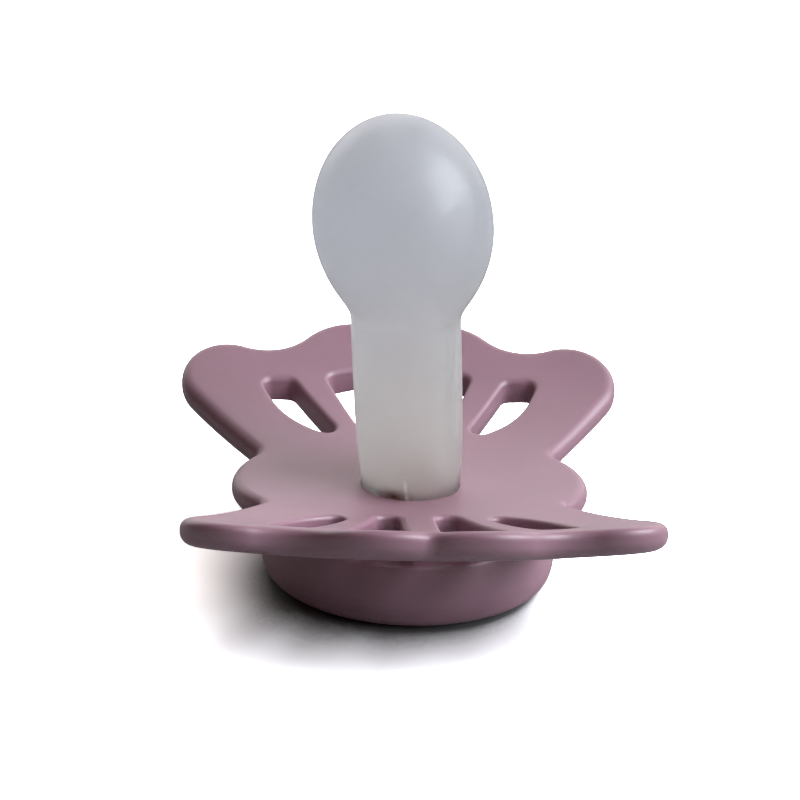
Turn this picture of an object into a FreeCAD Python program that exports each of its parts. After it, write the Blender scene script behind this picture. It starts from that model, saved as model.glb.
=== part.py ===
# Silicone soother with a butterfly shield, as an assembly of its moulded pieces.
#
# Frame: the origin is the centre of the knob's flat foot, +Z runs up the teat's axis,
# +Y from wing to wing of the shield (its long way) and +X across its waist. Millimetres.
#
# The shield carries a collar underneath. The teat goes up through the collar and the
# shield's hole until its flange meets a seat, the core plug closes it from below, and the
# knob snaps over the bead of the collar, its post holding the plug up.
import FreeCAD, Part
import math
import os
import Sketcher

SIZES = {
    # shield plate: a doubly dished plate, its top surface 8.8 mm up on the axis
    "shield_top": 8.8, "plate": 2.4, "dish_long": 54.0, "dish_across": 197.0,
    "blank_height": 20.0, "blank_reach": 30.0, "dish_cut_angle": 20.0, "under_cut_low": 2.4,
    # shield outline, one quarter: waist lobe, notch, flared side, wing tip, dip, crest
    "waist_centre": 7.93, "waist_radius": 8.26, "notch_radius": 0.8, "flare_angle": 54.5,
    "tip_across": 15.95, "tip_along": 17.7, "tip_radius": 4.9, "dip_radius": 6.0,
    "crest_across": 4.0, "crest_along": 19.0, "crest_radius": 7.0, "middle_radius": 1.2,
    "rim_round": 1.1, "vent_round": 0.5, "vent_corner": 0.9,
    # vents in one quarter of the shield, corner by corner before rounding
    "side_root_across": 5.15, "side_root_along": 8.85, "side_heel_across": 13.4,
    "side_heel_along": 17.8, "side_top_across": 10.2, "side_top_along": 18.0,
    "side_bow": 12.6, "bar_half": 1.55, "mid_root_across": 3.4, "mid_root_along": 9.4,
    "mid_heel_across": 7.05, "mid_heel_along": 18.85, "mid_top_along": 20.6,
    "vents_near": 8.0, "vents_far": 21.2, "vents_wide": 13.5, "collar_gap": 0.2,
    # collar under the shield, and the hole that the teat's neck fills
    "collar_radius": 7.9, "collar_bore": 6.0, "collar_foot": 3.3, "seat_height": 7.4,
    "bead_radius": 8.15, "bead_low": 4.0, "bead_high": 4.9, "neck_hole": 4.6,
    "hole_round": 0.3,
    # teat: an egg-shaped bulb on a slightly tapered neck, with an even wall
    "bulb_radius": 7.92, "bulb_half_height": 9.74, "bulb_centre": 33.6, "teat_wall": 1.2,
    "neck_base": 4.45, "neck_top": 5.0, "neck_length": 22.0, "neck_blend": 3.0,
    "flange_radius": 5.9, "flange_thick": 1.5, "nib_width": 0.5, "nib_height": 2.0,
    "nib_proud": 0.2,
    # core plug: a hollow spigot on a disc
    "plug_radius": 5.9, "plug_foot": 4.3, "spigot_radius": 3.2, "spigot_top": 9.5,
    "spigot_bore": 2.0, "spigot_cap": 1.0, "rib_depth": 0.25, "rib_pitch": 0.9,
    "plug_round": 0.4,
    # knob: a turned button, open inside, with a lip that snaps over the collar's bead
    "knob_radius": 13.45, "knob_belly": 2.1, "knob_shoulder": 13.0, "knob_height": 6.25,
    "knob_foot": 9.0, "knob_edge_across": 12.9, "knob_edge": 0.35, "edge_round": 1.4,
    "belly_round": 3.6, "shoulder_round": 0.4, "floor_thick": 1.6, "post_root": 0.9,
    "cavity_radius": 11.7, "cavity_top": 3.9, "lip_bore": 8.0, "lip_thick": 1.25,
    "lip_ledge": 10.4, "post_radius": 5.2, "post_bore": 3.6,
}

doc = FreeCAD.newDocument("soother")
sheet = doc.addObject("Spreadsheet::Sheet", "Sizes")
for row, (size_name, size) in enumerate(SIZES.items(), start=1):
    sheet.set(f"A{row}", size_name)
    sheet.set(f"B{row}", str(size))
    sheet.setAlias(f"B{row}", size_name)
doc.recompute()


CLOSE = 0.02    # how near an edge has to be to the place that a test names, in mm
STRAIGHT = 1e-6    # how little the direction of an upright edge may differ from Z


# ---- helpers: sizes written as sums of names, sketches and features bound to them ----

def number(text):
    """Add up a sum of named sizes, such as "knob_height - lip_thick"."""
    total, sign = 0.0, 1.0
    for word in text.split():
        if word in ("+", "-"):
            sign = 1.0 if word == "+" else -1.0
        else:
            total += sign * SIZES[word]
    return total


def formula(text):
    """The same sum as an expression on the sheet's cells."""
    return " ".join(word if word in ("+", "-") else f"Sizes.{word}" for word in text.split())


def bind(feature, **sums):
    """Bind each property of a feature to its sum of named sizes."""
    for prop, text in sums.items():
        feature.setExpression(prop, formula(text))


def new_body(label):
    body = doc.addObject("PartDesign::Body", label)
    body.Label = label
    return body


def new_sketch(body, name, plane):
    """An empty sketch on one of the body's own origin planes."""
    sketch = body.newObject("Sketcher::SketchObject", name)
    support = next(item for item in body.Origin.OriginFeatures if item.Role == plane)
    sketch.AttachmentSupport = [(support, "")]
    sketch.MapMode = "FlatFace"
    return sketch


def dimension(sketch, kind, refs, text):
    """Add one driving dimension and bind it to its sum of named sizes."""
    value = number(text)
    if kind == "Angle":
        value = math.radians(value)
    index = sketch.addConstraint(Sketcher.Constraint(kind, *refs, value))
    sketch.setExpression(f"Constraints[{index}]", formula(text))


def place(sketch, geometry, point, across, up):
    """Fix a point of the sketch at two sums of sizes; "0" puts it on that axis."""
    for kind, axis, text in (("DistanceX", -2, across), ("DistanceY", -1, up)):
        if text == "0":
            sketch.addConstraint(Sketcher.Constraint("PointOnObject", geometry, point, axis))
        else:
            dimension(sketch, kind, (-1, 1, geometry, point), text)


def position(corner):
    """The corner's rough place, which its constraints then hold exactly."""
    across, up = (0.0 if text == "0" else number(text) for text in corner)
    return FreeCAD.Vector(across, up, 0)


def polygon(sketch, corners, bows=()):
    """A closed outline through named corners; a side in bows is an arc of that radius."""
    first = sketch.GeometryCount
    points = [position(corner) for corner in corners]
    count = len(points)
    for side, start in enumerate(points):
        end = points[(side + 1) % count]
        radius = dict(bows).get(side)
        sketch.addGeometry(bowed_side(start, end, number(radius)) if radius
                           else Part.LineSegment(start, end))
    for side, corner in enumerate(corners):
        after = first + (side + 1) % count
        sketch.addConstraint(Sketcher.Constraint("Coincident", first + side, 2, after, 1))
        place(sketch, first + side, 1, *corner)
    for side, radius in bows:
        dimension(sketch, "Radius", (first + side,), radius)
    return sketch


def bowed_side(start, end, radius):
    """The arc from start to end that bulges to the right of the way it runs."""
    half = (end - start) * 0.5
    left = FreeCAD.Vector(-half.y, half.x, 0).normalize()
    centre = start + half + left * math.sqrt(radius ** 2 - half.Length ** 2)
    crown = centre - left * radius
    return Part.Arc(start, crown, end)


def revolve(body, name, corners, cut=False):
    """Turn a closed outline of (radius, height) corners about the Z axis."""
    sketch = polygon(new_sketch(body, name + "_profile", "XZ_Plane"), corners)
    kind = "PartDesign::Groove" if cut else "PartDesign::Revolution"
    feature = body.newObject(kind, name)
    feature.Profile = sketch
    feature.ReferenceAxis = (sketch, ["V_Axis"])
    feature.Angle = 360
    return feature


def edges_where(feature, wanted):
    """Names of the feature's edges whose middle point and curve the test accepts."""
    doc.recompute()
    names = []
    for index, edge in enumerate(feature.Shape.Edges, start=1):
        middle = edge.valueAt((edge.FirstParameter + edge.LastParameter) / 2)
        if wanted(edge, middle):
            names.append(f"Edge{index}")
    return names


def round_edges(body, name, feature, radius, wanted):
    """Round the feature's chosen edges to a named radius."""
    fillet = body.newObject("PartDesign::Fillet", name)
    fillet.Base = (feature, edges_where(feature, wanted))
    bind(fillet, Radius=radius)
    doc.recompute()
    return fillet


def on_circle(radius, height):
    """A test for the circular edge of this radius about Z at this height."""
    def wanted(edge, middle):
        reach = math.hypot(middle.x, middle.y)
        return abs(reach - number(radius)) < CLOSE and abs(middle.z - number(height)) < CLOSE
    return wanted


# ---- shield ----

def between_circles(first, first_radius, second, second_radius, radius):
    """Centre of the circle that touches two circles from outside, above the line between."""
    way = second - first
    near, far = first_radius + radius, second_radius + radius
    along = (near ** 2 - far ** 2 + way.Length ** 2) / (2 * way.Length)
    up = FreeCAD.Vector(-way.y, way.x, 0).normalize()
    return first + way.normalize() * along + up * math.sqrt(near ** 2 - along ** 2)


def arc_about(centre, radius, start, end):
    """The anticlockwise arc about a centre between the directions of two points."""
    angles = [math.atan2(point.y - centre.y, point.x - centre.x) for point in (start, end)]
    circle = Part.Circle(centre, FreeCAD.Vector(0, 0, 1), radius)
    return Part.ArcOfCircle(circle, *angles)


def quarter_outline(sketch):
    """One quarter of the shield's edge, from the waist lobe round to the middle of a wing."""
    waist = FreeCAD.Vector(number("waist_centre"), 0, 0)
    tip = FreeCAD.Vector(number("tip_across"), number("tip_along"), 0)
    crest = FreeCAD.Vector(number("crest_across"), number("crest_along"), 0)
    flare = math.radians(number("flare_angle"))
    along = FreeCAD.Vector(math.cos(flare), math.sin(flare), 0)
    outward = FreeCAD.Vector(along.y, -along.x, 0)

    # the notch touches the waist lobe and the flared side
    notch_radius = number("notch_radius")
    side_offset = (tip - waist).dot(outward) + number("tip_radius") + notch_radius
    reach = number("waist_radius") + notch_radius
    notch = waist + outward * side_offset + along * math.sqrt(reach ** 2 - side_offset ** 2)
    side_low = notch - outward * notch_radius
    side_high = tip + outward * number("tip_radius")
    dip = between_circles(crest, number("crest_radius"), tip, number("tip_radius"),
                          number("dip_radius"))
    swing = number("crest_radius") + number("middle_radius")
    middle = FreeCAD.Vector(0, crest.y + math.sqrt(swing ** 2 - crest.x ** 2), 0)
    wing_end = middle - FreeCAD.Vector(0, number("middle_radius"), 0)
    waist_end = waist + FreeCAD.Vector(number("waist_radius"), 0, 0)
    origin = FreeCAD.Vector(0, 0, 0)

    arcs = (("waist_radius", arc_about(waist, number("waist_radius"), waist_end, notch)),
            ("notch_radius", arc_about(notch, notch_radius, side_low, waist)),
            ("tip_radius", arc_about(tip, number("tip_radius"), side_high, dip)),
            ("dip_radius", arc_about(dip, number("dip_radius"), crest, tip)),
            ("crest_radius", arc_about(crest, number("crest_radius"), dip, middle)),
            ("middle_radius", arc_about(middle, number("middle_radius"), wing_end, crest)))
    lobe, hollow, end, trough, hill, saddle = range(6)
    for _, arc in arcs:
        sketch.addGeometry(arc)
    side = sketch.addGeometry(Part.LineSegment(side_low, side_high))
    across = sketch.addGeometry(Part.LineSegment(origin, waist_end))
    down = sketch.addGeometry(Part.LineSegment(wing_end, origin))

    joints = ((lobe, 2, hollow, 2), (hollow, 1, side, 1), (side, 2, end, 1),
              (end, 2, trough, 2), (trough, 1, hill, 1), (hill, 2, saddle, 2))
    for joint in joints:
        sketch.addConstraint(Sketcher.Constraint("Tangent", *joint))
    for index, (radius, _) in enumerate(arcs):
        dimension(sketch, "Radius", (index,), radius)
    dimension(sketch, "Angle", (side,), "flare_angle")
    place(sketch, lobe, 3, "waist_centre", "0")
    place(sketch, end, 3, "tip_across", "tip_along")
    place(sketch, hill, 3, "crest_across", "crest_along")
    sketch.addConstraint(Sketcher.Constraint("PointOnObject", saddle, 3, -2))
    sketch.addConstraint(Sketcher.Constraint("Coincident", across, 1, -1, 1))
    sketch.addConstraint(Sketcher.Constraint("Horizontal", across))
    sketch.addConstraint(Sketcher.Constraint("Coincident", across, 2, lobe, 1))
    sketch.addConstraint(Sketcher.Constraint("Coincident", down, 2, -1, 1))
    sketch.addConstraint(Sketcher.Constraint("Vertical", down))
    sketch.addConstraint(Sketcher.Constraint("Coincident", down, 1, saddle, 1))


def mirror_quarter(body, features):
    """Repeat a quarter's features across both upright planes."""
    planes = {item.Role: item for item in body.Origin.OriginFeatures}
    both = body.newObject("PartDesign::MultiTransform", "all_quarters")
    both.Originals = features
    steps = []
    for role in ("YZ_Plane", "XZ_Plane"):
        step = doc.addObject("PartDesign::Mirrored", "mirror_" + role[:2])
        step.MirrorPlane = (planes[role], [""])
        steps.append(step)
        body.Group = body.Group + [step]
    both.Transformations = steps
    body.Tip = both
    return both


def dish_cut(body, name, above):
    """Cut the blank to the dished surface over or under the plate.

    The surface is an arc of the long dish radius turned about a far line that lies
    along Y, so it is dished gently across the waist as well.
    """
    arc_radius = "dish_long" if above else "dish_long + plate"
    level = "blank_height" if above else "- under_cut_low"
    sketch = new_sketch(body, name + "_profile", "YZ_Plane")
    reach = number("blank_reach")
    centre_up = number("shield_top + dish_long")
    ends_up = centre_up - math.sqrt(number(arc_radius) ** 2 - reach ** 2)
    left, right = FreeCAD.Vector(-reach, ends_up, 0), FreeCAD.Vector(reach, ends_up, 0)
    bottom = FreeCAD.Vector(0, centre_up - number(arc_radius), 0)
    far_right = FreeCAD.Vector(reach, number(level), 0)
    far_left = FreeCAD.Vector(-reach, number(level), 0)
    axis_up = FreeCAD.Vector(0, number("shield_top + dish_across"), 0)
    across = FreeCAD.Vector(reach, 0, 0)
    sketch.addGeometry(Part.Arc(left, bottom, right))
    sketch.addGeometry(Part.LineSegment(right, far_right))
    sketch.addGeometry(Part.LineSegment(far_right, far_left))
    sketch.addGeometry(Part.LineSegment(far_left, left))
    axis = sketch.addGeometry(Part.LineSegment(axis_up - across, axis_up + across), True)

    for joint in ((0, 2, 1, 1), (1, 2, 2, 1), (2, 2, 3, 1), (3, 2, 0, 1)):
        sketch.addConstraint(Sketcher.Constraint("Coincident", *joint))
    dimension(sketch, "Radius", (0,), arc_radius)
    place(sketch, 0, 3, "0", "shield_top + dish_long")
    sketch.addConstraint(Sketcher.Constraint("Vertical", 1))
    sketch.addConstraint(Sketcher.Constraint("Vertical", 3))
    sketch.addConstraint(Sketcher.Constraint("Symmetric", 2, 1, 2, 2, -2))
    dimension(sketch, "DistanceX", (-1, 1, 1, 1), "blank_reach")
    dimension(sketch, "DistanceY", (-1, 1, 2, 1), level)
    sketch.addConstraint(Sketcher.Constraint("Symmetric", axis, 1, axis, 2, -2))
    dimension(sketch, "DistanceY", (-1, 1, axis, 1), "shield_top + dish_across")

    cut = body.newObject("PartDesign::Groove", name)
    cut.Profile = sketch
    cut.ReferenceAxis = (sketch, ["Axis0"])
    cut.Midplane = True
    bind(cut, Angle="dish_cut_angle")
    return cut


def on_dish(text):
    """A test for edges that lie on the dished surface whose long radius is this sum."""
    def wanted(edge, middle):
        turn = number("dish_across - dish_long")
        axis_up = number("shield_top + dish_across")
        reach = math.hypot(middle.x, axis_up - middle.z) - turn
        return abs(math.hypot(middle.y, reach) - number(text)) < CLOSE
    return wanted


def upright(edge, middle):
    """A test for the straight edges that run along Z."""
    way = edge.tangentAt(edge.FirstParameter)
    return abs(way.z) > 1 - STRAIGHT and edge.Length > number("plate") / 2


def among_vents(middle):
    """True in the stretch of each wing where its vents are, clear of the outer edge."""
    along = abs(middle.y)
    return (abs(middle.x) < number("vents_wide")
            and number("vents_near") < along < number("vents_far"))


def plate_edges(in_vents):
    """A test for the plate's sharp edges clear of the collar, in the vents or round the rim."""
    def wanted(edge, middle):
        on_face = any(on_dish(text)(edge, middle) for text in ("dish_long", "dish_long + plate"))
        clear = math.hypot(middle.x, middle.y) > number("collar_radius + collar_gap")
        return on_face and clear and among_vents(middle) == in_vents
    return wanted


def build_shield():
    body = new_body("shield")
    outline = new_sketch(body, "edge_outline", "XY_Plane")
    quarter_outline(outline)
    blank = body.newObject("PartDesign::Pad", "quarter_blank")
    blank.Profile = outline
    bind(blank, Length="blank_height")

    vents = new_sketch(body, "vent_outlines", "XY_Plane")
    polygon(vents, [("side_root_across", "side_root_along"),
                    ("side_heel_across", "side_heel_along"),
                    ("side_top_across", "side_top_along")], bows=[(0, "side_bow")])
    polygon(vents, [("bar_half", "mid_root_along"), ("mid_root_across", "mid_root_along"),
                    ("mid_heel_across", "mid_heel_along"), ("bar_half", "mid_top_along")])
    cut = body.newObject("PartDesign::Pocket", "quarter_vents")
    cut.Profile = vents
    cut.Reversed = True
    bind(cut, Length="blank_height")
    mirror_quarter(body, [blank, cut])
    dish_cut(body, "top_dish", above=True)
    under = dish_cut(body, "under_dish", above=False)
    doc.recompute()

    round_edges(body, "vent_corners", under, "vent_corner",
                lambda edge, middle: upright(edge, middle) and among_vents(middle))

    revolve(body, "collar", [
        ("neck_hole", "shield_top - teat_wall"), ("neck_hole", "seat_height"),
        ("collar_bore", "seat_height"), ("collar_bore", "collar_foot"),
        ("collar_radius", "collar_foot"), ("collar_radius", "shield_top - teat_wall")])
    revolve(body, "snap_bead", [
        ("collar_bore + hole_round", "bead_low"), ("bead_radius", "bead_low + hole_round"),
        ("bead_radius", "bead_high - hole_round"), ("collar_bore + hole_round", "bead_high")])
    hole = revolve(body, "neck_hole_cut", [
        ("0", "collar_foot"), ("collar_bore", "collar_foot"), ("collar_bore", "seat_height"),
        ("neck_hole", "seat_height"), ("neck_hole", "blank_height"), ("0", "blank_height")],
        cut=True)

    rim = round_edges(body, "rim_rounding", hole, "rim_round", plate_edges(in_vents=False))
    round_edges(body, "vent_rounding", rim, "vent_round", plate_edges(in_vents=True))
    return body


# ---- teat ----

def primitive(body, name, kind, height, **sums):
    """A cone, ellipsoid, cylinder or box, its foot on the Z axis at a sum of named sizes."""
    feature = body.newObject(kind, name)
    bind(feature, **sums)
    feature.setExpression("Placement.Base.z", formula(height))
    return feature


def build_teat():
    body = new_body("teat")
    foot = "seat_height - flange_thick"
    primitive(body, "neck", "PartDesign::AdditiveCone", foot,
                     Radius1="neck_base", Radius2="neck_top", Height="neck_length")
    bulb = primitive(body, "bulb", "PartDesign::AdditiveEllipsoid", "bulb_centre",
                            Radius1="bulb_half_height", Radius2="bulb_radius",
                            Radius3="bulb_radius")
    blend = round_edges(body, "neck_to_bulb", bulb, "neck_blend", neck_ring("neck_top"))

    primitive(body, "flange", "PartDesign::AdditiveCylinder", foot,
                     Radius="flange_radius", Height="flange_thick")
    nib = primitive(body, "nib", "PartDesign::AdditiveBox", "shield_top + nib_proud",
                           Length="nib_width", Width="teat_wall", Height="nib_height")
    nib.setExpression("Placement.Base.x", "-Sizes.nib_width / 2")
    nib.setExpression("Placement.Base.y", "-Sizes.neck_base - Sizes.nib_proud")
    primitive(body, "neck_bore", "PartDesign::SubtractiveCone", foot,
                     Radius1="neck_base - teat_wall", Radius2="neck_top - teat_wall",
                     Height="neck_length")
    hollow = primitive(body, "bulb_hollow", "PartDesign::SubtractiveEllipsoid",
                              "bulb_centre", Radius1="bulb_half_height - teat_wall",
                              Radius2="bulb_radius - teat_wall",
                              Radius3="bulb_radius - teat_wall")
    round_edges(body, "hollow_blend", hollow, "neck_blend", neck_ring("neck_top - teat_wall"))
    return body


def neck_ring(radius):
    """A test for the ring where the neck's wall of about this radius meets the bulb."""
    def wanted(edge, middle):
        reach = math.hypot(middle.x, middle.y)
        near = abs(reach - number(radius)) < number("nib_proud")
        return near and number("neck_length") < middle.z < number("bulb_centre")
    return wanted


# ---- core plug ----

def build_plug():
    body = new_body("core_plug")
    disc_top = "seat_height - flange_thick"
    revolve(body, "spigot", [
        ("spigot_bore", "plug_foot"), ("plug_radius", "plug_foot"), ("plug_radius", disc_top),
        ("spigot_radius", disc_top), ("spigot_radius", "spigot_top"), ("0", "spigot_top"),
        ("0", "spigot_top - spigot_cap"), ("spigot_bore", "spigot_top - spigot_cap")])
    first = "seat_height - rib_depth"
    ring = revolve(body, "grip_ring", [
        ("spigot_radius - rib_depth", first), ("plug_radius", first),
        ("plug_radius", first + " + rib_depth"),
        ("spigot_radius - rib_depth", first + " + rib_depth")], cut=True)
    rings = body.newObject("PartDesign::LinearPattern", "grip_rings")
    rings.Originals = [ring]
    rings.Direction = (ring.Profile[0], ["V_Axis"])
    rings.Occurrences = 2
    rings.setExpression("Length", "Sizes.rib_pitch")
    body.Tip = rings
    round_edges(body, "spigot_rounding", rings, "plug_round",
                on_circle("spigot_radius", "spigot_top"))
    return body


# ---- knob ----

def build_knob():
    body = new_body("knob")
    shell = revolve(body, "shell", [
        ("0", "0"), ("knob_foot", "0"), ("knob_edge_across", "knob_edge"),
        ("knob_radius", "knob_belly"), ("knob_shoulder", "knob_height"),
        ("lip_bore", "knob_height"), ("lip_bore", "knob_height - lip_thick"),
        ("lip_ledge", "knob_height - lip_thick"), ("cavity_radius", "cavity_top"),
        ("cavity_radius", "floor_thick"), ("0", "floor_thick")])
    edge = round_edges(body, "edge_rounding", shell, "edge_round",
                       on_circle("knob_edge_across", "knob_edge"))
    belly = round_edges(body, "belly_rounding", edge, "belly_round",
                        on_circle("knob_radius", "knob_belly"))
    round_edges(body, "shoulder_rounding", belly, "shoulder_round",
                on_circle("knob_shoulder", "knob_height"))
    revolve(body, "post", [
        ("post_bore", "post_root"), ("post_radius", "post_root"),
        ("post_radius", "plug_foot"), ("post_bore", "plug_foot")])
    return body


# ---- the whole assembly, checked and written ----

bodies = [build_shield(), build_teat(), build_plug(), build_knob()]
doc.recompute()

for item in doc.Objects:
    if "Invalid" in item.State or "Error" in item.State:
        raise RuntimeError(f"{item.Label}: {item.State}")
for body in bodies:
    if body.Shape.isNull() or not body.Shape.isValid() or len(body.Shape.Solids) != 1:
        raise RuntimeError(f"{body.Label} is not one valid solid")

os.makedirs("parts", exist_ok=True)
for body in bodies:
    body.Shape.exportStep(f"parts/{body.Label}.step")
    print(f"{body.Label}: {body.Shape.Volume:.1f} mm3")
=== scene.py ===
import math

import bmesh
import bpy
import numpy as np
from mathutils import Matrix, Vector
from mathutils.geometry import delaunay_2d_cdt


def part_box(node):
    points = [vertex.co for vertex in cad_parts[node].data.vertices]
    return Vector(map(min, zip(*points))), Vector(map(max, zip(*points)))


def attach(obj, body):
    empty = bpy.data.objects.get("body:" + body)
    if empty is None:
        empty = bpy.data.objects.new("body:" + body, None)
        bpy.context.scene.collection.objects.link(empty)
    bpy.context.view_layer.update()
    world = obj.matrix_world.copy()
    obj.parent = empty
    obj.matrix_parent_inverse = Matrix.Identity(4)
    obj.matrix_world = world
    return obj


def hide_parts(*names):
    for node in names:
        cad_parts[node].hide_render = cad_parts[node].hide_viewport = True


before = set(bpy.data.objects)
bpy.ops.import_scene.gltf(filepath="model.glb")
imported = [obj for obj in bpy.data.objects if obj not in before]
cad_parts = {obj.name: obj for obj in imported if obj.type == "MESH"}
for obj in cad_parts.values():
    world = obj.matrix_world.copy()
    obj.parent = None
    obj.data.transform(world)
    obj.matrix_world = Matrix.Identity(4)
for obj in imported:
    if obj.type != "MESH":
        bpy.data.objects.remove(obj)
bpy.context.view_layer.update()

MM = 0.001

# ---------------------------------------------------------------------------------------
# Shield. One injection moulding in satin polypropylene: a butterfly plate, dished towards
# the teat, with a well-rounded rim, four air vents in each wing and a collar underneath
# that the other pieces snap to.
# ---------------------------------------------------------------------------------------

shield_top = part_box("teat")[1].z / MM - 34.54   # height of the dish's lowest point, mm
plate = 2.4
dish_long, dish_across = 54.0, 197.0
waist_centre, waist_radius, notch_radius = np.array((7.93, 0.0)), 8.26, 0.8
flare = math.radians(54.5)
tip_centre, tip_radius, dip_radius = np.array((15.95, 17.7)), 4.9, 6.0
crest_centre, crest_radius, middle_radius = np.array((4.0, 19.0)), 7.0, 1.2
rim_round, vent_round, hole_round = 1.1, 0.5, 0.06
neck_hole, collar_bore, collar_radius, bead_radius = 4.48, 6.0, 7.9, 8.15
seat_height, collar_foot = 7.4, 3.3
side_vent = np.array(((5.15, 8.85), (10.89, 11.83), (13.4, 17.8), (10.2, 18.0)))
side_vent_radii = (0.85, 10.0, 0.9, 0.9)
middle_vent = np.array(((1.55, 9.4), (3.4, 9.4), (7.05, 18.85), (1.55, 20.6)))
middle_vent_radii = (0.9, 0.9, 0.9, 0.9)
bead_profile = np.array(((collar_radius, 4.25), (bead_radius, 4.35), (bead_radius, 4.6),
                         (collar_radius, 4.7)))
outline_step, sheet_step, edge_clearance = 0.22, 0.55, 0.6
rim_rings, mouth_rings = 9, 7
weld_gap = 2e-7    # metres


def dish(x, y, drop=0.0):
    """Height of the dished surface, drop below the top one.

    An arc of the long dish radius along Y, turned about a far axis that lies along Y: the
    axis height less the root of the reach squared less x squared.
    """
    axis_up = shield_top + dish_across
    reach = dish_across - dish_long + np.sqrt((dish_long + drop) ** 2 - y ** 2)
    return axis_up - np.sqrt(reach ** 2 - x ** 2)


def arc(centre, radius, start, end, step=outline_step):
    """Points on a circle from the direction of start to that of end, the short way round."""
    first = math.atan2(*(start - centre)[::-1])
    last = math.atan2(*(end - centre)[::-1])
    turn = (last - first + math.pi) % (2 * math.pi) - math.pi
    count = max(4, int(abs(turn) * radius / step))
    angles = first + turn * np.linspace(0, 1, count)
    return centre + radius * np.column_stack((np.cos(angles), np.sin(angles)))


def rounded(corners, radii, step=outline_step, closed=True):
    """A polygon whose corners are arcs: each arc's centre is on the corner's bisector."""
    runs = []
    count = len(corners)
    for index, corner in enumerate(corners):
        radius = radii[index]
        if radius == 0:
            runs.append(corner[None, :])
            continue
        before, after = corners[index - 1] - corner, corners[(index + 1) % count] - corner
        before, after = before / np.linalg.norm(before), after / np.linalg.norm(after)
        half = math.acos(np.clip(before @ after, -1, 1)) / 2
        bisector = (before + after) / np.linalg.norm(before + after)
        centre = corner + bisector * radius / math.sin(half)
        reach = radius / math.tan(half)
        runs.append(arc(centre, radius, corner + before * reach, corner + after * reach, step))
    points = np.vstack(runs)
    return even(points, step) if closed else points


def even(loop, step):
    """The closed loop again, with its points evenly spaced along it."""
    ring = np.vstack((loop, loop[:1]))
    run = np.concatenate(((0.0,), np.cumsum(np.linalg.norm(np.diff(ring, axis=0), axis=1))))
    places = np.linspace(0, run[-1], int(run[-1] / step), endpoint=False)
    return np.column_stack([np.interp(places, run, ring[:, axis]) for axis in (0, 1)])


def touching(first, first_radius, second, second_radius, radius):
    """Centre of the circle that touches two circles from outside, left of the way between."""
    way = second - first
    length = np.linalg.norm(way)
    near, far = first_radius + radius, second_radius + radius
    along = (near ** 2 - far ** 2 + length ** 2) / (2 * length)
    left = np.array((-way[1], way[0])) / length
    return first + way / length * along + left * math.sqrt(near ** 2 - along ** 2)


def shield_edge():
    """The whole edge: lobe, notch, side, tip, dip, crest and middle, mirrored four ways."""
    along = np.array((math.cos(flare), math.sin(flare)))
    outward = np.array((along[1], -along[0]))
    offset = (tip_centre - waist_centre) @ outward + tip_radius + notch_radius
    reach = waist_radius + notch_radius
    notch = waist_centre + outward * offset + along * math.sqrt(reach ** 2 - offset ** 2)
    dip = touching(crest_centre, crest_radius, tip_centre, tip_radius, dip_radius)
    swing = crest_radius + middle_radius
    middle = np.array((0, crest_centre[1] + math.sqrt(swing ** 2 - crest_centre[0] ** 2)))
    quarter = np.vstack((
        arc(waist_centre, waist_radius, waist_centre + (1, 0), notch),
        arc(notch, notch_radius, waist_centre, notch - outward),
        arc(tip_centre, tip_radius, tip_centre + outward, dip),
        arc(dip, dip_radius, tip_centre, crest_centre),
        arc(crest_centre, crest_radius, dip, middle),
        arc(middle, middle_radius, crest_centre, middle - (0, 1))))
    other = quarter[::-1] * (-1, 1)
    half = np.vstack((quarter[:-1], other[:-1]))
    return even(np.vstack((half, -half)), outline_step)


def outward_of(loop):
    """Unit normals of an anticlockwise loop: its tangents turned a quarter clockwise."""
    tangent = np.roll(loop, -1, axis=0) - np.roll(loop, 1, axis=0)
    tangent /= np.linalg.norm(tangent, axis=1)[:, None]
    return np.column_stack((tangent[:, 1], -tangent[:, 0]))


def inside(points, loop):
    """Which points lie in the loop: a ray to the right crosses it an odd number of times."""
    ahead = np.roll(loop, -1, axis=0)
    x, y = points[:, :1], points[:, 1:]
    spans = (loop[:, 1] > y) != (ahead[:, 1] > y)
    rise = np.where(ahead[:, 1] == loop[:, 1], 1e-12, ahead[:, 1] - loop[:, 1])
    crossing = loop[:, 0] + (y - loop[:, 1]) * (ahead[:, 0] - loop[:, 0]) / rise
    return (spans & (x < crossing)).sum(axis=1) % 2 == 1


def fill(loops, step=sheet_step):
    """Triangles between an outer loop and its holes, with a hexagonal grid of points inside.

    Grid points nearer to a loop than edge_clearance of a step are left out.
    """
    outer, holes = loops[0], loops[1:]
    low, high = outer.min(axis=0), outer.max(axis=0)
    rows = np.arange(low[1], high[1], step * math.sqrt(3) / 2)
    columns = np.arange(low[0], high[0], step)
    x, y = np.meshgrid(columns, rows)
    x = x + (np.arange(len(rows)) % 2)[:, None] * step / 2
    grid = np.column_stack((x.ravel(), y.ravel()))
    keep = inside(grid, outer)
    for loop in loops:
        gap = np.linalg.norm(grid[:, None, :] - loop[None, :, :], axis=2).min(axis=1)
        keep &= gap > step * edge_clearance
    for hole in holes:
        keep &= ~inside(grid, hole)
    points = np.vstack([*loops, grid[keep]])
    edges, first = [], 0
    for loop in loops:
        index = np.arange(len(loop))
        edges += np.column_stack((first + index, first + (index + 1) % len(loop))).tolist()
        first += len(loop)
    found = delaunay_2d_cdt([Vector(p) for p in points], edges, [], 1, 1e-9)
    flat = np.array([tuple(p) for p in found[0]])
    faces = np.array(found[2])
    middles = flat[faces].mean(axis=1)
    solid = np.ones(len(faces), bool)
    for hole in holes:
        solid &= ~inside(middles, hole)
    return flat, faces[solid]


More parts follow.
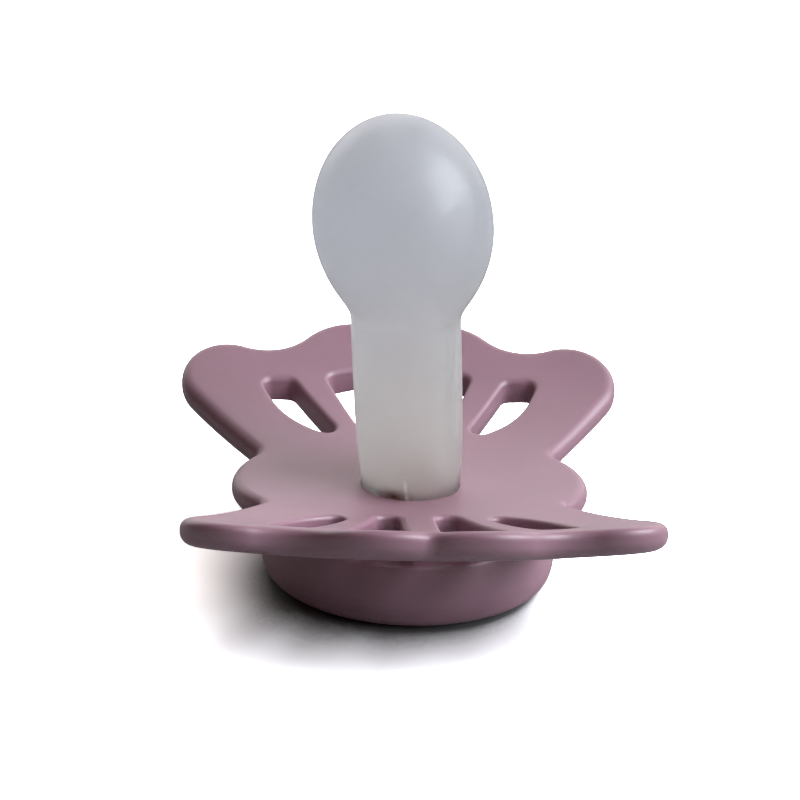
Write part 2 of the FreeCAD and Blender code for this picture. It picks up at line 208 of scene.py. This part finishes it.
def strip(rings, closed=True):
    """Quads between each ring of points and the next; rings is a (rings, points, 3) grid."""
    count = rings.shape[1]
    row = np.arange(count if closed else count - 1)
    step = np.arange(rings.shape[0] - 1)[:, None] * count
    ahead = (row + 1) % count
    quads = np.stack((step + row, step + ahead, step + count + ahead, step + count + row), -1)
    return rings.reshape(-1, 3), quads.reshape(-1, 4)


def make_piece(name, patches, material, sharp=35):
    """One mesh from patches of (points in mm, faces), welded where their edges meet."""
    mesh = bpy.data.meshes.new(name)
    points, faces, first = [], [], 0
    for patch, patch_faces in patches:
        points.append(patch)
        faces += (patch_faces + first).tolist()
        first += len(patch)
    mesh.from_pydata(np.vstack(points) * MM, [], faces)
    work = bmesh.new()
    work.from_mesh(mesh)
    bmesh.ops.remove_doubles(work, verts=work.verts, dist=weld_gap)
    bmesh.ops.dissolve_degenerate(work, edges=work.edges, dist=1e-8)
    bmesh.ops.recalc_face_normals(work, faces=work.faces)
    work.to_mesh(mesh)
    work.free()
    mesh.shade_smooth()
    mesh.set_sharp_from_angle(angle=math.radians(sharp))
    mesh.materials.append(material)
    piece = bpy.data.objects.new(name, mesh)
    bpy.context.scene.collection.objects.link(piece)
    return piece


def edge_wall(loop, into_material, radius):
    """The rounded wall of a cut edge, from the top sheet over to the under sheet.

    The loop moves into the material by the radius times one less the sine of a quarter
    turn, and drops by the radius times one less its cosine; below the middle the same
    again, mirrored.
    """
    turn = np.linspace(0, math.pi / 2, rim_rings)
    rings = []
    for side in (1, -1):
        for angle in turn[::side]:
            flat = loop + into_material * radius * (1 - math.sin(angle))
            drop = radius * (1 - math.cos(angle))
            over, under = dish(*flat.T), dish(*flat.T, drop=plate)
            height = over - drop if side == 1 else under + drop
            rings.append(np.column_stack((flat, height)))
    return strip(np.array(rings))


def turned(profile, around=192):
    """A profile of (radius, height) turned about the Z axis."""
    angles = np.linspace(0, 2 * math.pi, around, endpoint=False)
    radius, height = profile[:, 0, None], profile[:, 1, None]
    return np.stack((radius * np.cos(angles), radius * np.sin(angles),
                     height + 0 * angles), axis=-1)


def vent_loops():
    """The eight vents: the two of one quarter, mirrored four ways and kept anticlockwise."""
    quarter = (rounded(side_vent, side_vent_radii), rounded(middle_vent, middle_vent_radii))
    loops = []
    for across, along in ((1, 1), (-1, 1), (-1, -1), (1, -1)):
        for vent in quarter:
            loop = vent * (across, along)
            loops.append(loop if across * along == 1 else loop[::-1])
    return loops


def build_shield(material):
    """Top and under sheets on the dish, rounded walls round every edge, and the collar."""
    edge = shield_edge()
    rim_inward = -outward_of(edge)
    vents = vent_loops()
    patches = [edge_wall(edge, rim_inward, rim_round)]
    borders = [edge + rim_inward * rim_round]
    for vent in vents:
        away = outward_of(vent)
        patches.append(edge_wall(vent, away, vent_round))
        borders.append(vent + away * vent_round)

    quarter_turn = np.linspace(0, math.pi / 2, mouth_rings)
    mouth = np.column_stack((neck_hole + hole_round * (1 - np.sin(quarter_turn)),
                             shield_top - hole_round * (1 - np.cos(quarter_turn))))
    below = np.array(((neck_hole, seat_height), (collar_bore, seat_height),
                      (collar_bore, collar_foot), (collar_radius, collar_foot),
                      *bead_profile, (collar_radius, shield_top - plate)))
    rings = turned(np.vstack((mouth, below)))
    rings[0, :, 2] = dish(rings[0, :, 0], rings[0, :, 1])
    rings[-1, :, 2] = dish(rings[-1, :, 0], rings[-1, :, 1], drop=plate)
    patches.append(strip(rings))

    for end, drop in ((0, 0.0), (-1, plate)):
        flat, faces = fill([*borders, rings[end, :, :2]])
        height = dish(flat[:, 0], flat[:, 1], drop=drop)
        patches.append((np.column_stack((flat, height)), faces))
    return make_piece("shield_plate", patches, material)


def new_material(name):
    """A material made of nodes, with its list of nodes and its list of links."""
    material = bpy.data.materials.new(name)
    material.use_nodes = True
    return material, material.node_tree.nodes, material.node_tree.links


def satin_plastic(name, tint):
    """Moulded polypropylene: a satin skin of fine texture, with faint clouding of the tint."""
    material, nodes, links = new_material(name)
    shader = nodes["Principled BSDF"]
    shader.inputs["Roughness"].default_value = 0.46
    shader.inputs["IOR"].default_value = 1.49
    shader.inputs["Specular IOR Level"].default_value = 0.9
    shader.inputs["Subsurface Weight"].default_value = 0.12
    shader.inputs["Subsurface Radius"].default_value = (0.9, 0.5, 0.5)
    shader.inputs["Subsurface Scale"].default_value = 0.0012

    place = nodes.new("ShaderNodeTexCoord")
    clouds = nodes.new("ShaderNodeTexNoise")
    clouds.inputs["Scale"].default_value = 140.0
    clouds.inputs["Detail"].default_value = 3.0
    shades = nodes.new("ShaderNodeValToRGB")
    shades.color_ramp.elements[0].color = (*[channel * 0.95 for channel in tint], 1)
    shades.color_ramp.elements[0].position = 0.3
    shades.color_ramp.elements[1].color = (*[channel * 1.04 for channel in tint], 1)
    shades.color_ramp.elements[1].position = 0.7
    links.new(place.outputs["Object"], clouds.inputs["Vector"])
    links.new(clouds.outputs["Fac"], shades.inputs["Fac"])
    links.new(shades.outputs["Color"], shader.inputs["Base Color"])

    texture = nodes.new("ShaderNodeTexNoise")
    texture.inputs["Scale"].default_value = 5200.0
    texture.inputs["Detail"].default_value = 2.0
    bump = nodes.new("ShaderNodeBump")
    bump.inputs["Strength"].default_value = 0.10
    bump.inputs["Distance"].default_value = 0.00004
    links.new(place.outputs["Object"], texture.inputs["Vector"])
    links.new(texture.outputs["Fac"], bump.inputs["Height"])
    links.new(bump.outputs["Normal"], shader.inputs["Normal"])
    return material


mauve = (0.29, 0.153, 0.2)
shield = build_shield(satin_plastic("dusty_mauve_shield", mauve))
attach(shield, "root")
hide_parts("shield")

# ---------------------------------------------------------------------------------------
# Knob. A round moulded button in the same plastic, open inside, whose lip snaps over the
# collar's bead. The soother stands on its flat foot.
# ---------------------------------------------------------------------------------------

knob_outside = np.array(((0.0, 0.0), (9.0, 0.0), (12.9, 0.35), (13.45, 2.1), (13.0, 6.25),
                         (8.0, 6.25), (8.0, 5.0), (10.4, 5.0), (11.7, 3.9), (11.7, 1.6),
                         (5.2, 1.6), (5.2, 4.3), (3.6, 4.3), (3.6, 1.6), (0.0, 1.6)))
knob_radii = (0, 6.0, 1.4, 3.6, 0.4, 0.25, 0.2, 0.3, 0.5, 0.4, 0.3, 0.15, 0.15, 0.3, 0)


def build_knob(material):
    """The knob's outline, its corners rounded, turned about the Z axis."""
    profile = rounded(knob_outside, knob_radii, step=0.12, closed=False)
    return make_piece("knob_button", [strip(turned(profile, 256))], material, sharp=50)


knob = build_knob(satin_plastic("dusty_mauve_knob", mauve))
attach(knob, "root")
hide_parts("knob")

# ---------------------------------------------------------------------------------------
# Core plug. A hollow moulded spigot on a disc, pushed up into the teat from below, where it
# clamps the teat's flange. Its form is a guess, because it is hidden inside.
# ---------------------------------------------------------------------------------------

plug_outline = np.array(((0.0, 9.5), (3.2, 9.5), (3.2, 8.3), (2.95, 8.3), (2.95, 8.05),
                         (3.2, 8.05), (3.2, 7.4), (2.95, 7.4), (2.95, 7.15), (3.2, 7.15),
                         (3.2, 5.9), (5.9, 5.9), (5.9, 4.3), (2.0, 4.3), (2.0, 8.5),
                         (0.0, 8.5)))
plug_radii = (0, 0.4, 0, 0, 0, 0, 0, 0, 0, 0, 0.1, 0.2, 0.2, 0.1, 0.2, 0)


def build_plug(material):
    """The plug's outline turned about the Z axis."""
    profile = rounded(plug_outline, plug_radii, step=0.08, closed=False)
    return make_piece("plug_spigot", [strip(turned(profile, 128))], material, sharp=50)


plug = build_plug(satin_plastic("dusty_mauve_plug", mauve))
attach(plug, "root")
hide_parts("core_plug")

# ---------------------------------------------------------------------------------------
# Teat. One moulding in clear to milky silicone, hollow, with an even wall: an egg-shaped
# bulb on a neck that widens a little upwards. Being soft, it leans slightly to one side.
# ---------------------------------------------------------------------------------------

bulb_radius, bulb_half, bulb_centre, teat_wall = 8.04, 9.74, 33.6, 1.2
neck_low, neck_high, neck_swell, neck_foot = 4.46, 4.94, 3.6, 5.9
flange_radius = 5.9
blend_power = 9.0
lean, lean_start = math.tan(math.radians(3.8)), 0.8
bulb_start, neck_rings, bulb_rings = 9.0, 70, 96    # the skin's rings get closer above this
nib_half, nib_height, nib_proud, nib_turn = 0.30, 2.0, 0.25, -0.11


def teat_radius(height, wall=0.0):
    """Radius of the teat's skin, wall below its outside.

    Above the shield the neck swells towards its full width as an exponential; the bulb is
    an ellipse. The two blend as a high-power mean, so the skin hugs whichever is wider and
    eases over between them.
    """
    above = np.clip(height - shield_top, 0, None)
    neck = neck_high - (neck_high - neck_low) * np.exp(-above / neck_swell) - wall
    reach = np.clip(1 - ((height - bulb_centre) / (bulb_half - wall)) ** 2, 0, None)
    bulb = (bulb_radius - wall) * np.sqrt(reach)
    neck = np.where(height > bulb_centre, 0, neck)
    return (neck ** blend_power + bulb ** blend_power) ** (1 / blend_power)


def skin(wall, foot):
    """(radius, height) of one side of the wall, from the foot up to the pole."""
    start = bulb_centre - bulb_start
    low = np.linspace(foot, start, neck_rings, endpoint=False)
    angle = np.linspace(-math.pi / 2, math.pi / 2, bulb_rings)
    blend = (np.sin(angle) + 1) / 2
    high = start + (bulb_centre + bulb_half - wall - start) * blend
    height = np.concatenate((low, high))
    return np.column_stack((teat_radius(height, wall), height))


def build_teat(material):
    """Outer skin, flange and inner skin as one profile turned about the axis, then leaned."""
    outer, inner = skin(0.0, seat_height), skin(teat_wall, neck_foot)
    flange = rounded(np.array(((neck_low, seat_height), (flange_radius, seat_height),
                               (flange_radius, neck_foot), (neck_low, neck_foot))),
                     (0, 0.3, 0.3, 0), step=0.1, closed=False)
    rings = turned(np.vstack((outer[::-1], flange[1:-1], inner)), 256)
    height = rings[..., 2]
    angle = np.arctan2(rings[..., 0], -rings[..., 1])
    radius = np.hypot(rings[..., 0], rings[..., 1])

    # the nib: a small upright ridge at the front of the neck's foot
    outside = np.arange(len(rings))[:, None] < len(outer)
    aside = np.clip(1 - ((angle - nib_turn) * neck_low / nib_half) ** 2, 0, 1)
    above = (height - shield_top - 0.2) / nib_height
    tall = np.clip(1 - (2 * above - 1) ** 8, 0, 1) * (abs(2 * above - 1) < 1)
    grown = 1 + nib_proud * aside * tall * outside / np.maximum(radius, 1)
    rings[..., 0] *= grown
    rings[..., 1] *= grown

    # the lean grows from nothing at the shield to an even slope above it
    over = np.clip(height - shield_top, 0, None)
    rings[..., 0] -= lean * over ** 2 / (over + lean_start)
    return make_piece("teat_skin", [strip(rings)], material, sharp=60)


def blob(nodes, links, place, centre, size):
    """A soft spot in object space, 1 at its centre: centre and half sizes in millimetres."""
    mapping = nodes.new("ShaderNodeMapping")
    mapping.inputs["Location"].default_value = [-c / s for c, s in zip(centre, size)]
    mapping.inputs["Scale"].default_value = [1 / (s * MM) for s in size]
    ball = nodes.new("ShaderNodeTexGradient")
    ball.gradient_type = "SPHERICAL"
    links.new(place.outputs["Object"], mapping.inputs["Vector"])
    links.new(mapping.outputs["Vector"], ball.inputs["Vector"])
    return ball.outputs["Fac"]


def silicone(name):
    """Milky clear silicone: light passes into it, spreads and comes out cool and soft."""
    material, nodes, links = new_material(name)
    shader = nodes["Principled BSDF"]
    shader.inputs["Roughness"].default_value = 0.45
    shader.inputs["IOR"].default_value = 1.41
    shader.inputs["Transmission Weight"].default_value = 1.0
    shader.inputs["Specular IOR Level"].default_value = 0.2
    shader.inputs["Coat Weight"].default_value = 0.4
    shader.inputs["Coat Roughness"].default_value = 0.03
    shader.inputs["Coat IOR"].default_value = 1.41

    place = nodes.new("ShaderNodeTexCoord")
    split = nodes.new("ShaderNodeSeparateXYZ")
    shades = nodes.new("ShaderNodeValToRGB")
    height = nodes.new("ShaderNodeMapRange")
    height.inputs["From Min"].default_value = shield_top * MM
    height.inputs["From Max"].default_value = bulb_centre * MM
    ramp = shades.color_ramp
    ramp.elements[0].color = (0.925, 0.915, 0.88, 1)
    ramp.elements[1].color = (0.86, 0.875, 0.90, 1)
    links.new(place.outputs["Object"], split.inputs["Vector"])
    links.new(split.outputs["Z"], height.inputs["Value"])
    links.new(height.outputs["Result"], shades.inputs["Fac"])

    # painted shade and painted highlights at the neck's foot, standing for the mauve plastic that
    # shows through there as it is lit: a painted shadow on the side away from the light, painted
    # highlights on the side towards it and along the nib
    shadow = blob(nodes, links, place, (-1.75, -4.2, shield_top + 0.4), (1.9, 2.6, 1.0))
    gleam = blob(nodes, links, place, (1.5, -4.2, shield_top + 0.75), (2.4, 2.6, 0.7))
    ridge = blob(nodes, links, place, (-0.52, -4.6, shield_top + 0.9), (0.32, 1.6, 1.6))
    through = nodes.new("ShaderNodeBsdfTranslucent")
    colour = shades.outputs["Color"]
    for spot, tint in ((gleam, (1.0, 0.93, 0.92, 1)), (shadow, (0.24, 0.08, 0.06, 1)),
                       (ridge, (1.0, 0.97, 0.95, 1))):
        mix = nodes.new("ShaderNodeMix")
        mix.data_type = "RGBA"
        mix.inputs["B"].default_value = tint
        links.new(spot, mix.inputs["Factor"])
        links.new(colour, mix.inputs["A"])
        colour = mix.outputs["Result"]
    links.new(colour, shader.inputs["Base Color"])
    links.new(colour, through.inputs["Color"])

    # the milkiness: part of the light goes right through the wall and comes out spread
    both = nodes.new("ShaderNodeMixShader")
    both.inputs["Fac"].default_value = 0.42
    links.new(shader.outputs["BSDF"], both.inputs[1])
    links.new(through.outputs["BSDF"], both.inputs[2])
    links.new(both.outputs["Shader"], nodes["Material Output"].inputs["Surface"])
    return material


teat = build_teat(silicone("milky_silicone"))
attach(teat, "root")
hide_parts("teat")

# ---------------------------------------------------------------------------------------
# Stage. A white table top in front of pale walls, a tall glowing panel at the right,
# softboxes behind and overhead, and the camera a little above the soother.
# ---------------------------------------------------------------------------------------

camera_azimuth, camera_elevation, camera_roll = (math.radians(a) for a in (-4.38, 20.88, -2.3))
camera_distance, camera_lens = 0.274, 135.6
aim = Vector((-1.02, 2.77, 15.85)) * MM
# open_side and shadow_reach steer the table's painted shadow: it opens towards open_side and
# reaches shadow_reach metres
open_side = (0.3, 0.32, 0.9)    # the way that most of the light on the table comes from
shadow_reach = 0.019
table_half = 1.5


def place_camera():
    """The camera looks at the aim point from its azimuth, elevation and roll."""
    back = Vector((math.sin(camera_azimuth) * math.cos(camera_elevation),
                   -math.cos(camera_azimuth) * math.cos(camera_elevation),
                   math.sin(camera_elevation)))
    right = Vector((math.cos(camera_azimuth), math.sin(camera_azimuth), 0))
    up = back.cross(right)
    turned_right = right * math.cos(camera_roll) - up * math.sin(camera_roll)
    turned_up = right * math.sin(camera_roll) + up * math.cos(camera_roll)
    camera = bpy.data.objects.new("camera", bpy.data.cameras.new("camera"))
    bpy.context.scene.collection.objects.link(camera)
    camera.data.lens = camera_lens
    camera.data.clip_start, camera.data.clip_end = 0.01, 10
    turn = Matrix((turned_right, turned_up, back)).transposed()
    camera.matrix_world = Matrix.Translation(aim + back * camera_distance) @ turn.to_4x4()
    bpy.context.scene.camera = camera


def softbox(name, place, target, size, power):
    """A rectangular white light that faces its target."""
    light = bpy.data.lights.new(name, "AREA")
    light.shape = "RECTANGLE"
    light.size, light.size_y = size
    light.energy = power
    lamp = bpy.data.objects.new(name, light)
    bpy.context.scene.collection.objects.link(lamp)
    lamp.location = Vector(place)
    lamp.rotation_euler = (Vector(target) - Vector(place)).to_track_quat("-Z", "Y").to_euler()


def white_surface():
    """A matt table top that the camera alone sees brighter than any real white.

    What the camera sees is painted darker where a point is less open towards the open side,
    which paints the soft shadow under the soother. Other rays meet a plain grey board, and
    rays that were scattered before meet a darker one, so little light is thrown back from it.
    """
    material, nodes, links = new_material("white_table")
    nodes.remove(nodes["Principled BSDF"])
    board = nodes.new("ShaderNodeBsdfDiffuse")
    openness = nodes.new("ShaderNodeAmbientOcclusion")
    openness.samples = 32
    openness.inputs["Distance"].default_value = shadow_reach
    towards = nodes.new("ShaderNodeCombineXYZ")
    for axis, amount in zip("XYZ", open_side):
        towards.inputs[axis].default_value = amount
    links.new(towards.outputs["Vector"], openness.inputs["Normal"])
    # painted shadow: to the camera, the table is darker where it is less open towards the open
    # side
    shade = nodes.new("ShaderNodeMapRange")
    shade.inputs["From Min"].default_value = 0.26
    shade.inputs["From Max"].default_value = 0.90
    shade.inputs["To Min"].default_value = 0.12
    shade.inputs["To Max"].default_value = 4.6
    path = nodes.new("ShaderNodeLightPath")
    bounced = nodes.new("ShaderNodeMix")
    bounced.inputs["A"].default_value = 0.42
    bounced.inputs["B"].default_value = 0.26
    thrown = nodes.new("ShaderNodeMix")
    links.new(openness.outputs["AO"], shade.inputs["Value"])
    links.new(shade.outputs["Result"], thrown.inputs["B"])
    links.new(path.outputs["Is Diffuse Ray"], bounced.inputs["Factor"])
    links.new(bounced.outputs["Result"], thrown.inputs["A"])
    links.new(path.outputs["Is Camera Ray"], thrown.inputs["Factor"])
    links.new(thrown.outputs["Result"], board.inputs["Color"])
    links.new(board.outputs["BSDF"], nodes["Material Output"].inputs["Surface"])
    return material


table = bpy.data.meshes.new("table")
table.from_pydata([(-table_half, -table_half, 0), (table_half, -table_half, 0),
                   (table_half, table_half, 0), (-table_half, table_half, 0)],
                  [], [(0, 1, 2, 3)])
table.materials.append(white_surface())
table_top = bpy.data.objects.new("table", table)
bpy.context.scene.collection.objects.link(table_top)


def studio_walls():
    """Walls that the camera sees as white; all other rays meet only a dim warm fill."""
    world = bpy.data.worlds.new("studio")
    world.use_nodes = True
    nodes, links = world.node_tree.nodes, world.node_tree.links
    fill = nodes["Background"]
    fill.inputs["Color"].default_value = (1, 0.62, 0.5, 1)
    fill.inputs["Strength"].default_value = 0.07
    wall = nodes.new("ShaderNodeBackground")
    wall.inputs["Color"].default_value = (1, 1, 1, 1)
    path = nodes.new("ShaderNodeLightPath")
    seen = nodes.new("ShaderNodeMixShader")
    links.new(path.outputs["Is Camera Ray"], seen.inputs["Fac"])
    links.new(fill.outputs["Background"], seen.inputs[1])
    links.new(wall.outputs["Background"], seen.inputs[2])
    links.new(seen.outputs["Shader"], nodes["World Output"].inputs["Surface"])
    bpy.context.scene.world = world


studio_walls()


def glowing_panel(name, corners, fade_from, fade_to, strength):
    """A tall diffuser: corners in order round it, glowing more from fade_from to fade_to in Y."""
    material, nodes, links = new_material(name)
    nodes.remove(nodes["Principled BSDF"])
    glow = nodes.new("ShaderNodeEmission")
    glow.inputs["Color"].default_value = (0.90, 0.94, 1, 1)
    place = nodes.new("ShaderNodeTexCoord")
    split = nodes.new("ShaderNodeSeparateXYZ")
    fade = nodes.new("ShaderNodeMapRange")
    fade.interpolation_type = "SMOOTHSTEP"
    fade.inputs["From Min"].default_value = fade_from
    fade.inputs["From Max"].default_value = fade_to
    fade.inputs["To Max"].default_value = strength
    links.new(place.outputs["Object"], split.inputs["Vector"])
    links.new(split.outputs["Y"], fade.inputs["Value"])
    links.new(fade.outputs["Result"], glow.inputs["Strength"])
    links.new(glow.outputs["Emission"], nodes["Material Output"].inputs["Surface"])
    mesh = bpy.data.meshes.new(name)
    mesh.from_pydata(corners, [], [(0, 1, 2, 3)])
    mesh.materials.append(material)
    panel = bpy.data.objects.new(name, mesh)
    bpy.context.scene.collection.objects.link(panel)


glowing_panel("right_softbox", ((0.65, -0.93, 0.22), (0.65, -0.93, 1.21), (0.65, 0.20, 0.77),
                                (0.65, 0.20, 0.20)), -0.88, -0.36, 8.9)
softbox("back_softbox", (0, 0.7, 0.35), (0, 0, 0.03), (1.6, 0.7), 6.2)
softbox("overhead_softbox", (0, 0, 0.8), (0, 0, 0), (0.9, 0.9), 1.2)
place_camera()
bpy.context.scene.view_settings.view_transform = "Standard"
